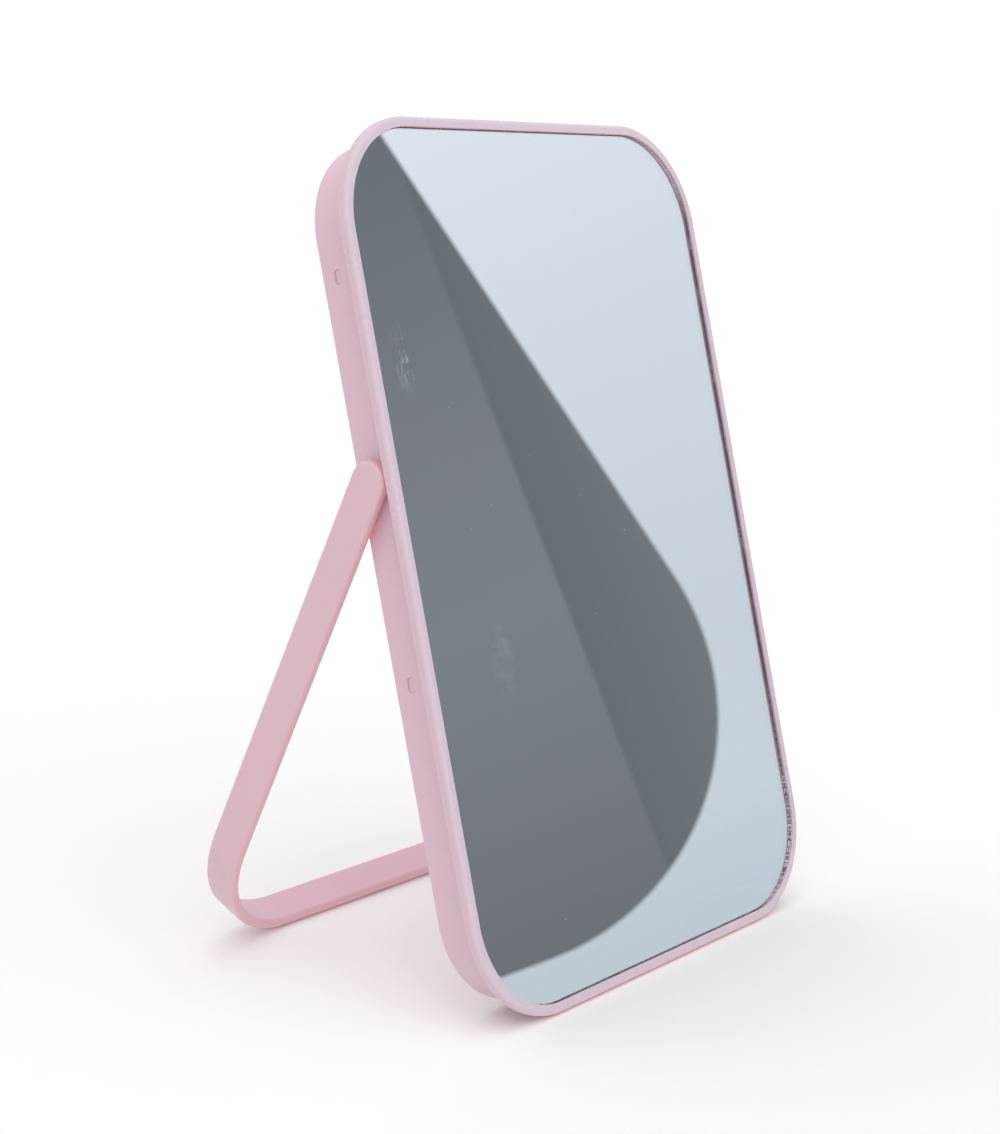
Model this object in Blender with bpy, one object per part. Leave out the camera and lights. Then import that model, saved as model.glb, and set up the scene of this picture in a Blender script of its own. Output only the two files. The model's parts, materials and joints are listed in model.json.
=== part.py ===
"""Folding table mirror: front bezel, sheet mirror, rear shell and a U-shaped swing-out stand.

Every piece is modelled upright in one working frame: X to the right, Y to the back, Z up along the
mirror, with the origin at the centre of the front face. Two empties then place them: the whole mirror
leans back, and the stand turns out on its hinge, until both touch the floor.
"""
import math

import bmesh
import bpy
from mathutils import Matrix, Vector

MM = 0.001

# ---- driving dimensions, millimetres ------------------------------------------------------------
WIDTH = 138.6            # bezel flange, side to side
HEIGHT = 210.0           # bezel flange, top to bottom
CORNER_R = 26.4          # outer corner of the flange
FLANGE_T = 2.8           # flange thickness, front to back
LIP_W = 2.5              # width of the raised lip around the glass
FRONT_EDGE_R = 1.1       # rounding of the lip's outer front edge
GLASS_RECESS = 0.5       # glass face below the lip
GLASS_T = 1.3            # sheet mirror thickness
GLASS_SIDE_GAP = 0.3     # between glass edge and lip
GLASS_ARRIS = 0.25       # ground edge of the glass
LEDGE_W = 10.5           # flange rim to the opening behind the glass
FIT = 0.3                # clearance kept between neighbouring pieces

SHELL_INSET = 3.95       # shell wall inside the flange edge, all round
SHELL_BACK = 14.5        # front face to the shell's flat back
SHELL_WALL = 1.8
SHELL_FLOOR = 1.8
SHELL_EDGE_R = 1.4       # rounding of the shell's back edge
RIB_T = 1.2
RIB_FRONT = 5.3          # front edge of the ribs, from the front face
RIB_X = 34.0             # upright ribs, each side of the middle
RIB_Z = 62.0             # cross ribs, above and below the middle
RIB_HALF_LENGTH = 90.0
CROSS_RIB_HALF_LENGTH = 56.0
GUSSET_OFFSET = 7.5      # gussets above and below the hinge axis
GUSSET_LENGTH = 10.0

SKIRT_T = 1.2            # bezel skirt that slides into the shell
SKIRT_END = 11.0
SKIRT_ROOT = 0.4         # how far skirt and flange run into each other
HINGE_NOTCH = 18.0       # gap in the skirt for the hinge hardware
WINDOW_Y = 9.1           # centre of the snap windows, from the front face
WINDOW_W = 2.3           # window size front to back
WINDOW_H = 3.7           # window size along the wall
WINDOW_PITCH = 93.4      # spacing of the two side windows, centred on the pivot
END_WINDOW_X = 32.0      # windows in the top and bottom walls
HOOK_GAP = 0.35          # hook to window
HOOK_DEPTH = 0.6         # hook face below the shell's outer face

PIVOT_Z = 23.2           # hinge axis above the mirror's centre
PIVOT_Y = 8.2            # hinge axis behind the front face
STRIP_W = 9.7            # stand strip, front to back
STRIP_T = 2.85           # stand strip thickness
STRIP_EDGE_R = 0.45
STAND_HALF = 69.3        # outer face of each arm from the middle
STAND_CORNER_R = 32.0
STAND_REACH = 135.0      # hinge axis to the outer face of the crossbar
STAND_OPEN_DEG = 39.6    # stand angle from folded, as it stands on a table

STUD_R = 1.9             # hollow stud on the inside of each arm
STUD_END = 62.3          # where the stud ends, from the middle
STUD_HOLE_R = 1.25
STUD_HOLE_END = 67.6
BORE_R = 2.25            # hole for the stud in the shell wall
FRICTION_R = 4.0
FRICTION_T = 0.5
WAVE_R = 3.6
WAVE_T = 0.3
WAVE_RISE = 0.28         # height of each wave above the middle plane
WAVE_MIDDLE = 0.45       # middle plane of the wave washer beyond the stud's end
WAVES = 3
FLAT_R = 3.4
FLAT_BORE_R = 1.3
FLAT_T = 0.6
SCREW_R = 0.95
SCREW_END = 67.1
SCREW_HEAD_R = 2.3
SCREW_HEAD_T = 1.4
SCREW_HEAD_EDGE_R = 0.5
RECESS_W = 0.6           # cross recess in the screw head
RECESS_L = 2.6
RECESS_DEPTH = 0.8

TAPE_W = 20.0            # double-sided foam tape between the ribs and the glass
TAPE_H = 14.0

ARC_STEPS = 12           # segments in each quarter of a large corner
ROD_STEPS = 24           # segments round small cylinders
TIP_STEPS = 14           # segments round the end of each arm
EDGE_STEPS = 4           # segments across a rounded rim
CUT_PAST = 2.0           # how far cutters run beyond what they cut
SHARP_DEG = 35           # edges sharper than this are shaded flat
BEVEL_DEG = 40           # stand edges sharper than this are rounded
LEAN_STEPS = 40          # halvings in the search for the lean angle

COLLECTION = "folding_mirror"
CUTTERS = "cutters"
SIDES = (("left", -1), ("right", 1))


# ---- scene set-up -------------------------------------------------------------------------------
def clear_scene():
    for obj in list(bpy.data.objects):
        bpy.data.objects.remove(obj, do_unlink=True)


def new_collection(name):
    col = bpy.data.collections.new(name)
    bpy.context.scene.collection.children.link(col)
    return col


def material(name, colour, roughness, metallic=0.0):
    mat = bpy.data.materials.new(name)
    mat.use_nodes = True
    shader = mat.node_tree.nodes["Principled BSDF"]
    shader.inputs["Base Color"].default_value = (*colour, 1.0)
    shader.inputs["Roughness"].default_value = roughness
    shader.inputs["Metallic"].default_value = metallic
    return mat


# ---- outlines in X and Z, millimetres -----------------------------------------------------------
def arc(x, z, radius, start, end, steps=ARC_STEPS):
    points = []
    for i in range(steps + 1):
        angle = math.radians(start + (end - start) * i / steps)
        points.append((x + radius * math.cos(angle), z + radius * math.sin(angle)))
    return points


def inset_outline(inset):
    """The flange outline moved inwards by a constant distance."""
    radius = CORNER_R - inset
    x = WIDTH / 2 - CORNER_R
    z = HEIGHT / 2 - CORNER_R
    return (arc(x, z, radius, 0, 90) + arc(-x, z, radius, 90, 180)
            + arc(-x, -z, radius, 180, 270) + arc(x, -z, radius, 270, 360))


def stand_outline():
    """Front view of the U, with its arms running on past the hinge axis."""
    x = STAND_HALF - STAND_CORNER_R
    z = PIVOT_Z - STAND_REACH + STAND_CORNER_R
    inner_x = STAND_HALF - STRIP_T
    inner_r = STAND_CORNER_R - STRIP_T
    top = PIVOT_Z + STRIP_W
    points = [(-STAND_HALF, top)]
    points += arc(-x, z, STAND_CORNER_R, 180, 270) + arc(x, z, STAND_CORNER_R, 270, 360)
    points += [(STAND_HALF, top), (inner_x, top)]
    points += arc(x, z, inner_r, 360, 270) + arc(-x, z, inner_r, 270, 180)
    points += [(-inner_x, top)]
    return points


# ---- solids as bmesh, millimetres in, metres out ------------------------------------------------
def prism(outline, y0, y1):
    """A flat outline in X and Z, filled and extruded from y0 to y1."""
    curve = bpy.data.curves.new("outline", "CURVE")
    curve.dimensions = "2D"
    curve.fill_mode = "BOTH"
    curve.extrude = (y1 - y0) / 2 * MM
    spline = curve.splines.new("POLY")
    spline.points.add(len(outline) - 1)
    for point, (x, z) in zip(spline.points, outline):
        point.co = (x * MM, z * MM, 0.0, 1.0)
    spline.use_cyclic_u = True
    holder = bpy.data.objects.new("outline", curve)
    mesh = bpy.data.meshes.new_from_object(holder)
    bm = bmesh.new()
    bm.from_mesh(mesh)
    bpy.data.meshes.remove(mesh)
    bpy.data.curves.remove(curve)
    bmesh.ops.remove_doubles(bm, verts=bm.verts, dist=1e-6)
    merge_flat_faces(bm)
    middle = Matrix.Translation((0, (y0 + y1) / 2 * MM, 0))
    bm.transform(middle @ Matrix.Rotation(math.radians(90), 4, "X"))
    return bm


def box(x, y, z):
    """A box between two limits along each axis."""
    bm = bmesh.new()
    bmesh.ops.create_cube(bm, size=1.0)
    spans = [(high - low) * MM for low, high in (x, y, z)]
    centre = Vector([(high + low) / 2 * MM for low, high in (x, y, z)])
    bm.transform(Matrix.Translation(centre) @ Matrix.Diagonal((*spans, 1.0)))
    return bm


def rod(radius, x0, x1):
    """A cylinder on the hinge axis between two distances from the middle."""
    bm = bmesh.new()
    bmesh.ops.create_cone(bm, cap_ends=True, segments=ROD_STEPS, radius1=radius * MM,
                          radius2=radius * MM, depth=abs(x1 - x0) * MM)
    centre = Vector(((x0 + x1) / 2, PIVOT_Y, PIVOT_Z)) * MM
    bm.transform(Matrix.Translation(centre) @ Matrix.Rotation(math.radians(90), 4, "Y"))
    return bm


def merge_flat_faces(bm):
    bmesh.ops.dissolve_limit(bm, angle_limit=math.radians(0.5), verts=bm.verts, edges=bm.edges)


def face_outwards(bm):
    bmesh.ops.recalc_face_normals(bm, faces=bm.faces)
    if bm.calc_volume(signed=True) < 0:
        bmesh.ops.reverse_faces(bm, faces=bm.faces)


def round_rim(bm, front, radius):
    """Round the rim of a prism's front or back cap: pull the cap in, then step inset rings up to it."""
    depth = min if front else max
    cap = depth(bm.faces, key=lambda face: face.calc_center_median().y)
    inwards = radius * MM if front else -radius * MM
    bmesh.ops.translate(bm, verts=cap.verts, vec=(0, inwards, 0))
    done = Vector((0, 0))
    for i in range(1, EDGE_STEPS + 1):
        angle = math.radians(90 * i / EDGE_STEPS)
        goal = Vector((1 - math.cos(angle), math.sin(angle))) * radius * MM
        bmesh.ops.inset_region(bm, faces=[cap], thickness=goal.x - done.x, depth=goal.y - done.y,
                               use_even_offset=True, use_boundary=True)
        done = goal


def round_edges(bm, edges, radius):
    bmesh.ops.bevel(bm, geom=edges, offset=radius * MM, segments=2, profile=0.5, affect="EDGES")


# ---- objects and Booleans -----------------------------------------------------------------------
class Builder:
    """Keeps the pieces and the cutters in their collections and applies Booleans."""

    def __init__(self):
        self.parts = new_collection(COLLECTION)
        self.cutters = new_collection(CUTTERS)

    def add(self, name, bm, col, mat=None):
        face_outwards(bm)
        mesh = bpy.data.meshes.new(name)
        bm.to_mesh(mesh)
        bm.free()
        obj = bpy.data.objects.new(name, mesh)
        col.objects.link(obj)
        if mat is not None:
            mesh.materials.append(mat)
        return obj

    def piece(self, name, bm, mat):
        return self.add(name, bm, self.parts, mat)

    def cutter(self, bm):
        name = "cutter_%02d" % (len(self.cutters.objects) + 1)
        obj = self.add(name, bm, self.cutters)
        obj.hide_render = True
        obj.display_type = "WIRE"
        return obj

    def boolean(self, obj, tool, operation):
        mod = obj.modifiers.new(operation.lower(), "BOOLEAN")
        mod.operation = operation
        mod.solver = "EXACT"
        mod.object = tool
        graph = bpy.context.evaluated_depsgraph_get()
        mesh = bpy.data.meshes.new_from_object(obj.evaluated_get(graph))
        old = obj.data
        obj.modifiers.clear()
        obj.data = mesh
        bpy.data.meshes.remove(old)
        mesh.name = obj.name

    def cut(self, obj, bm):
        self.boolean(obj, self.cutter(bm), "DIFFERENCE")

    def join(self, obj, bm):
        self.boolean(obj, self.cutter(bm), "UNION")

    def clean(self, obj):
        """Weld what the Booleans left within two thousandths of a millimetre."""
        bm = bmesh.new()
        bm.from_mesh(obj.data)
        bmesh.ops.remove_doubles(bm, verts=bm.verts, dist=2e-6)
        bmesh.ops.dissolve_degenerate(bm, edges=bm.edges, dist=2e-6)
        face_outwards(bm)
        bm.to_mesh(obj.data)
        bm.free()


# ---- snap hooks and windows ---------------------------------------------------------------------
def snap_places():
    """(wall, place along it) of each hook and its window. A wall is an axis and a sign."""
    half = WINDOW_PITCH / 2
    places = [("x", sign, PIVOT_Z + step) for sign in (-1, 1) for step in (-half, half)]
    places += [("z", sign, x) for sign in (-1, 1) for x in (-END_WINDOW_X, END_WINDOW_X)]
    return places


def wall_box(wall, sign, along, length, y, depth):
    """A box through a wall. Depths are measured inwards from the flange edge."""
    rim = (WIDTH if wall == "x" else HEIGHT) / 2
    across = sorted(sign * (rim - d) for d in depth)
    span = (along - length / 2, along + length / 2)
    if wall == "x":
        return box(across, y, span)
    return box(span, y, across)


# ---- pieces -------------------------------------------------------------------------------------
def make_skirt(build):
    """The bezel's inner wall, open at the hinges, with a hook for each window."""
    outer = SHELL_INSET + SHELL_WALL + FIT
    inner = outer + SKIRT_T
    skirt = build.cutter(prism(inset_outline(outer), FLANGE_T - SKIRT_ROOT, SKIRT_END))
    build.cut(skirt, prism(inset_outline(inner), 0, SKIRT_END + CUT_PAST))
    notch_y = (FLANGE_T + SKIRT_ROOT, SKIRT_END + CUT_PAST)
    for _, sign in SIDES:
        depth = (outer - CUT_PAST, inner + CUT_PAST)
        build.cut(skirt, wall_box("x", sign, PIVOT_Z, HINGE_NOTCH, notch_y, depth))
    half = WINDOW_W / 2 - HOOK_GAP
    for wall, sign, along in snap_places():
        depth = (SHELL_INSET + HOOK_DEPTH, outer + SKIRT_T / 2)
        length = WINDOW_H - 2 * HOOK_GAP
        build.join(skirt, wall_box(wall, sign, along, length, (WINDOW_Y - half, WINDOW_Y + half), depth))
    return skirt


def make_bezel(build, mat):
    flange = prism(inset_outline(0), 0, FLANGE_T)
    round_rim(flange, True, FRONT_EDGE_R)
    bezel = build.piece("front_bezel", flange, mat)
    build.cut(bezel, prism(inset_outline(LIP_W), -CUT_PAST, GLASS_RECESS + GLASS_T + FIT))
    build.cut(bezel, prism(inset_outline(LEDGE_W), 0, FLANGE_T + CUT_PAST))
    build.boolean(bezel, make_skirt(build), "UNION")
    build.clean(bezel)
    return bezel


def make_glass(build, mat):
    bm = prism(inset_outline(LIP_W + GLASS_SIDE_GAP), GLASS_RECESS, GLASS_RECESS + GLASS_T)
    round_rim(bm, True, GLASS_ARRIS)
    return build.piece("mirror_glass", bm, mat)


def make_ribs(build):
    """Two upright and two cross ribs that start halfway into the shell's floor."""
    y = (RIB_FRONT, SHELL_BACK - SHELL_FLOOR / 2)
    half = RIB_T / 2
    tall = (-RIB_HALF_LENGTH, RIB_HALF_LENGTH)
    wide = (-CROSS_RIB_HALF_LENGTH, CROSS_RIB_HALF_LENGTH)
    ribs = build.cutter(box((-RIB_X - half, -RIB_X + half), y, tall))
    build.join(ribs, box((RIB_X - half, RIB_X + half), y, tall))
    for z in (-RIB_Z, RIB_Z):
        build.join(ribs, box(wide, y, (z - half, z + half)))
    return ribs


def make_shell(build, mat):
    block = prism(inset_outline(SHELL_INSET), FLANGE_T + FIT, SHELL_BACK)
    round_rim(block, False, SHELL_EDGE_R)
    shell = build.piece("rear_shell", block, mat)
    build.cut(shell, prism(inset_outline(SHELL_INSET + SHELL_WALL), 0, SHELL_BACK - SHELL_FLOOR))
    build.boolean(shell, make_ribs(build), "UNION")
    gusset_y = (RIB_FRONT, SHELL_BACK - SHELL_FLOOR / 2)
    gusset_depth = (SHELL_INSET + SHELL_WALL / 2, SHELL_INSET + SHELL_WALL + GUSSET_LENGTH)
    wall_middle = WIDTH / 2 - SHELL_INSET - SHELL_WALL / 2
    for _, sign in SIDES:
        for z in (PIVOT_Z - GUSSET_OFFSET, PIVOT_Z + GUSSET_OFFSET):
            build.join(shell, wall_box("x", sign, z, RIB_T, gusset_y, gusset_depth))
        reach = SHELL_WALL / 2 + CUT_PAST
        build.cut(shell, rod(BORE_R, sign * (wall_middle - reach), sign * (wall_middle + reach)))
    window_y = (WINDOW_Y - WINDOW_W / 2, WINDOW_Y + WINDOW_W / 2)
    window_depth = (SHELL_INSET - CUT_PAST, SHELL_INSET + SHELL_WALL + FIT)
    for wall, sign, along in snap_places():
        build.cut(shell, wall_box(wall, sign, along, WINDOW_H, window_y, window_depth))
    build.clean(shell)
    return shell


def make_stand(build, mat):
    """A U extruded front to back, trimmed to the strip's width with a round end on each arm."""
    stand = build.piece("u_stand", prism(stand_outline(), PIVOT_Y - STRIP_W, PIVOT_Y + STRIP_W), mat)
    half = STRIP_W / 2
    below = -STAND_REACH - CUT_PAST
    side_view = arc(0, 0, half, 0, 180, TIP_STEPS) + [(-half, below), (half, below)]
    blank = prism(side_view, -WIDTH, WIDTH)
    hinge = Vector((0, PIVOT_Y, PIVOT_Z)) * MM
    blank.transform(Matrix.Translation(hinge) @ Matrix.Rotation(math.radians(90), 4, "Z"))
    build.boolean(stand, build.cutter(blank), "INTERSECT")
    bm = bmesh.new()
    bm.from_mesh(stand.data)
    bmesh.ops.remove_doubles(bm, verts=bm.verts, dist=2e-6)
    merge_flat_faces(bm)
    sharp = [edge for edge in bm.edges if edge.calc_face_angle(0.0) > math.radians(BEVEL_DEG)]
    round_edges(bm, sharp, STRIP_EDGE_R)
    bm.to_mesh(stand.data)
    bm.free()
    for _, sign in SIDES:
        build.join(stand, rod(STUD_R, sign * STUD_END, sign * (STAND_HALF - STRIP_T / 2)))
        build.cut(stand, rod(STUD_HOLE_R, sign * (STUD_END - CUT_PAST), sign * STUD_HOLE_END))
    build.clean(stand)
    return stand


def washer(build, name, radius, bore, x0, x1, mat):
    obj = build.piece(name, rod(radius, x0, x1), mat)
    build.cut(obj, rod(bore, min(x0, x1) - CUT_PAST, max(x0, x1) + CUT_PAST))
    build.clean(obj)
    return obj


def wave_washer(build, name, sign, mat):
    """A flat ring whose points are then lifted in three waves along the hinge axis."""
    middle = STUD_END + WAVE_MIDDLE
    obj = washer(build, name, WAVE_R, BORE_R, sign * (middle - WAVE_T / 2),
                 sign * (middle + WAVE_T / 2), mat)
    for vert in obj.data.vertices:
        angle = math.atan2(vert.co.z - PIVOT_Z * MM, vert.co.y - PIVOT_Y * MM)
        vert.co.x += WAVE_RISE * MM * math.cos(WAVES * angle)
    return obj


def pivot_screw(build, name, sign, mat):
    """Pan-head screw with a cross recess; its head faces the middle of the mirror."""
    seat = STUD_END - FIT - FLAT_T - FIT
    top = seat - SCREW_HEAD_T
    head = rod(SCREW_HEAD_R, sign * top, sign * seat)
    rim = [e for e in head.edges if all(abs(v.co.x - sign * top * MM) < 1e-6 for v in e.verts)]
    round_edges(head, rim, SCREW_HEAD_EDGE_R)
    screw = build.piece(name, head, mat)
    build.join(screw, rod(SCREW_R, sign * (seat - FIT), sign * SCREW_END))
    depth = sorted((sign * (top - CUT_PAST), sign * (top + RECESS_DEPTH)))
    for wide, high in ((RECESS_W / 2, RECESS_L / 2), (RECESS_L / 2, RECESS_W / 2)):
        build.cut(screw, box(depth, (PIVOT_Y - wide, PIVOT_Y + wide), (PIVOT_Z - high, PIVOT_Z + high)))
    build.clean(screw)
    return screw


def make_friction_washer(build, label, sign, mat):
    face = WIDTH / 2 - SHELL_INSET + FIT
    return washer(build, "friction_washer_" + label, FRICTION_R, BORE_R, sign * face,
                  sign * (face + FRICTION_T), mat)


def make_hinge_hardware(build, label, sign, mat):
    """What turns with the stand inside the shell: wave washer, flat washer and screw."""
    flat = STUD_END - FIT - FLAT_T
    return [
        wave_washer(build, "wave_washer_" + label, sign, mat),
        washer(build, "flat_washer_" + label, FLAT_R, FLAT_BORE_R, sign * flat,
               sign * (flat + FLAT_T), mat),
        pivot_screw(build, "pivot_screw_" + label, sign, mat),
    ]


def make_tapes(build, mat):
    tapes = []
    y = (GLASS_RECESS + GLASS_T + FIT, RIB_FRONT - FIT)
    for row, z in (("lower", -RIB_Z), ("upper", RIB_Z)):
        for label, sign in SIDES:
            x = sign * RIB_X
            bm = box((x - TAPE_W / 2, x + TAPE_W / 2), y, (z - TAPE_H / 2, z + TAPE_H / 2))
            tapes.append(build.piece("foam_tape_%s_%s" % (row, label), bm, mat))
    return tapes


# ---- standing it on the floor -------------------------------------------------------------------
def empty(name, parent=None):
    obj = bpy.data.objects.new(name, None)
    obj.empty_display_size = STRIP_W * MM
    bpy.data.collections[COLLECTION].objects.link(obj)
    obj.parent = parent
    return obj


def lowest(objects):
    bpy.context.view_layer.update()
    return min((obj.matrix_world @ v.co).z for obj in objects for v in obj.data.vertices)


def lean_until_both_touch(leaning, frame, stand):
    """Turn the whole mirror back to the angle at which bezel and stand rest on one floor."""
    low = 0.0
    high = math.radians(STAND_OPEN_DEG)
    for _ in range(LEAN_STEPS):
        middle = (low + high) / 2
        leaning.rotation_euler.x = -middle
        if lowest(stand) < lowest(frame):
            high = middle
        else:
            low = middle


def rest_on_floor(leaning, frame, stand):
    """Put the lowest point on the floor and the middle of the bounding box over the origin."""
    lean_until_both_touch(leaning, frame, stand)
    leaning.location.z -= lowest(frame + stand)
    depths = [(obj.matrix_world @ v.co).y for obj in frame + stand for v in obj.data.vertices]
    leaning.location.y -= (min(depths) + max(depths)) / 2
    bpy.context.view_layer.update()


def place(frame, stand):
    """Parent fixed pieces to the leaning mirror and moving ones to its hinge, origins on the axis."""
    leaning = empty("leaning_mirror")
    hinge = empty("stand_hinge", leaning)
    hinge.location = Vector((0, PIVOT_Y, PIVOT_Z)) * MM
    hinge.rotation_euler.x = math.radians(STAND_OPEN_DEG)
    for obj in frame:
        obj.parent = leaning
    for obj in stand:
        obj.data.transform(Matrix.Translation(-hinge.location))
        obj.parent = hinge
    rest_on_floor(leaning, frame, stand)
    axis = hinge.matrix_world.translation
    print("lean %.3f degrees" % -math.degrees(leaning.rotation_euler.x))
    print("hinge axis at y %.6f z %.6f metres" % (axis.y, axis.z))


def main():
    clear_scene()
    build = Builder()
    bezel_pink = material("bezel_plastic", (0.66, 0.47, 0.53), 0.38)
    shell_pink = material("shell_plastic", (0.64, 0.46, 0.52), 0.42)
    stand_pink = material("stand_plastic", (0.66, 0.46, 0.53), 0.40)
    silver = material("silvered_glass", (0.90, 0.92, 0.93), 0.03, 1.0)
    steel = material("zinc_steel", (0.62, 0.63, 0.65), 0.30, 1.0)
    nylon = material("nylon", (0.80, 0.79, 0.75), 0.50)
    foam = material("foam", (0.75, 0.75, 0.72), 0.95)

    frame = [make_bezel(build, bezel_pink), make_glass(build, silver), make_shell(build, shell_pink)]
    frame += make_tapes(build, foam)
    stand = [make_stand(build, stand_pink)]
    for label, sign in SIDES:
        frame.append(make_friction_washer(build, label, sign, nylon))
        stand += make_hinge_hardware(build, label, sign, steel)

    for obj in frame + stand:
        obj.data.shade_smooth()
        obj.data.set_sharp_from_angle(angle=math.radians(SHARP_DEG))
    place(frame, stand)


main()
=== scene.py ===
"""Looks of the folding table mirror: finely rounded mouldings, real sheet glass and its silver.

The pieces are modelled upright in the part's own working frame, in millimetres: X to the right, Y to
the back, Z up along the mirror. Two matrices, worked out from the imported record, then place them.
"""
import json
import math
import random

import bmesh
import bpy
from mathutils import Matrix, Quaternion, Vector


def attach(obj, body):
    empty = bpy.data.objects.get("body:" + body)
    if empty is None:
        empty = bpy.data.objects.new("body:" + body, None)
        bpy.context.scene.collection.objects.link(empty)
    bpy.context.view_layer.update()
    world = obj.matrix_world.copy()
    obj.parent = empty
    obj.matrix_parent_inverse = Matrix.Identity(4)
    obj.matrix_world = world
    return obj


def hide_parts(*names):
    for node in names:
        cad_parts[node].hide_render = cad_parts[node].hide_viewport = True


MM = 0.001

# ---- the part's dimensions, millimetres ---------------------------------------------------------
WIDTH = 138.6
HEIGHT = 210.0
CORNER_R = 26.4
FLANGE_T = 2.8
LIP_W = 2.5
GLASS_RECESS = 0.5
GLASS_T = 1.3
LEDGE_W = 10.5
FIT = 0.3
SHELL_INSET = 3.95
SHELL_BACK = 14.5
SHELL_WALL = 1.8
SHELL_FLOOR = 1.8
RIB_T = 1.2
RIB_FRONT = 5.3
RIB_X = 34.0
RIB_Z = 62.0
RIB_HALF_LENGTH = 90.0
CROSS_RIB_HALF_LENGTH = 56.0
GUSSET_OFFSET = 7.5
GUSSET_LENGTH = 10.0
SKIRT_T = 1.2
SKIRT_END = 11.0
SKIRT_ROOT = 0.4
HINGE_NOTCH = 18.0
WINDOW_Y = 9.1
WINDOW_W = 2.3
WINDOW_H = 3.7
WINDOW_PITCH = 93.4
END_WINDOW_X = 32.0
PIVOT_Z = 23.2
PIVOT_Y = 8.2
STRIP_W = 9.7
STRIP_T = 2.85
STAND_HALF = 69.3
STAND_CORNER_R = 32.0
STAND_REACH = 135.0
STAND_OPEN_DEG = 39.6
STUD_R = 1.9
STUD_END = 62.3
STUD_HOLE_R = 1.25
STUD_HOLE_END = 67.6
BORE_R = 2.25

# ---- roundings and fineness of the looks, millimetres -------------------------------------------
LIP_FRONT_R = 1.15       # lip, outer front edge
LIP_INNER_R = 0.25       # lip, edge beside the glass
FLANGE_REAR_R = 0.55     # flange, outer rear edge
LEDGE_R = 0.1
SHELL_BACK_R = 1.5
SHELL_FRONT_R = 0.25
SHELL_INNER_R = 0.6
BACK_MARGIN = 4.0        # from the back's edge to where its filled middle begins
WINDOW_R = 0.95          # a window's corners
WINDOW_RIM_R = 0.40      # rounding of a window's outer rim
WINDOW_CLOSE = 0.12      # how much tighter than the model for motion a window is, each way
HOOK_RIM_R = 0.03        # rounding round a hook's face
HOOK_CLOSE_GAP = 0.004   # hook to window, as moulded
HOOK_CLOSE_DEPTH = 0.48  # how deep a hook's face lies in its window
GATE_R = 2.2             # moulding gate on the back: a shallow dish with a nub in it
GATE_DEPTH = 0.35
GATE_NUB_R = 0.6
GATE_NUB_H = 0.2
SPLIT_MARGIN = 1.6       # from a window or the gate to the edge loops around it
SIDE_PITCH = 9.0         # spacing of edge loops along the straight sides
STRIP_EDGE_R = 1.0       # the stand's long edges
GLASS_CLOSE_GAP = 0.015  # the pane fills its pocket more closely than the model for motion does
GLASS_ARRIS = 0.09       # ground edge of the glass, on average
CHIP_FRONT = 0.02        # how far small chips run in over the front and the silvered back
CHIP_BACK = 0.07
CHIP_PITCH = 0.25        # spacing of points along the glass edge
CHIP_CORNER_STEPS = 150
CHIP_RUNS = (190, 233)   # how often chipped and clean stretches alternate, radians a metre in X and Z
CHIP_LEAST = 0.25        # share of the chips that a clean stretch keeps
CHIP_SEED = 7
CORNER_STEPS = 40        # segments in each quarter of a large corner
FILLET_STEPS = 6
TIP_STEPS = 48
ROD_STEPS = 48
STRIP_EDGE_STEPS = 5
CUT_PAST = 2.0
SHARP_DEG = 40
STRAIGHT_DEG = 0.2       # bends under this are cleared away before edges are rounded
WELD = 2e-6              # metres
ON_FACE = 1e-6           # metres
FLAT_NORMAL = 0.98       # faces of the pane squarer to its front than this are its front and back

# ---- the view and the studio, metres and degrees ------------------------------------------------
CAMERA_AT = (-0.4426, -0.3439, 0.1901)
CAMERA_HEADING = 51.89   # from +Y towards +X
CAMERA_PITCH = -9.75
CAMERA_ROLL = -0.635
CAMERA_LENS = 71.3
CAMERA_SENSOR = 36.0
FLOOR_SIZE = 60.0
FLOOR_ALBEDO = 0.98
AMBIENT = 0.67           # radiance of the surroundings on dull surfaces
FRONT_SUN = 0.19         # what each soft sun adds on the floor, as radiance
FRONT_SUN_FROM = (-0.35, -0.80, 1.10)
TOP_SUN = 0.18
TOP_SUN_FROM = (-0.20, 0.35, 1.00)
SUN_ANGLE = 75.0
CARD_DISTANCE = 0.75     # the grey card that the mirror sees, from the mirror's middle
CARD_DISC = (0.107, -0.068, 0.1504)  # its round end, in its own plane: across, up, radius
CARD_LEAN = 12.6         # its straight edge, from upright
CARD_TOP = 0.30
CARD_SIDE = 0.26
CARD_FOLD = 0.026        # where its darker strip ends
CARD_SOFT = 0.0028       # width over which its edge fades


# ---- colours and marks; places in metres unless stated ------------------------------------------
# Pale and deep clouds, paler edges that are part wear and part painted highlight, and a painted red glow for deep
# gaps.
BODY_PINK = ((0.735, 0.505, 0.59), (0.72, 0.488, 0.572), (0.84, 0.68, 0.75), (1.0, 0.53, 0.57))
STAND_PINK = ((0.73, 0.485, 0.55), (0.715, 0.467, 0.533), (0.83, 0.66, 0.72), (1.0, 0.53, 0.57))
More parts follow.
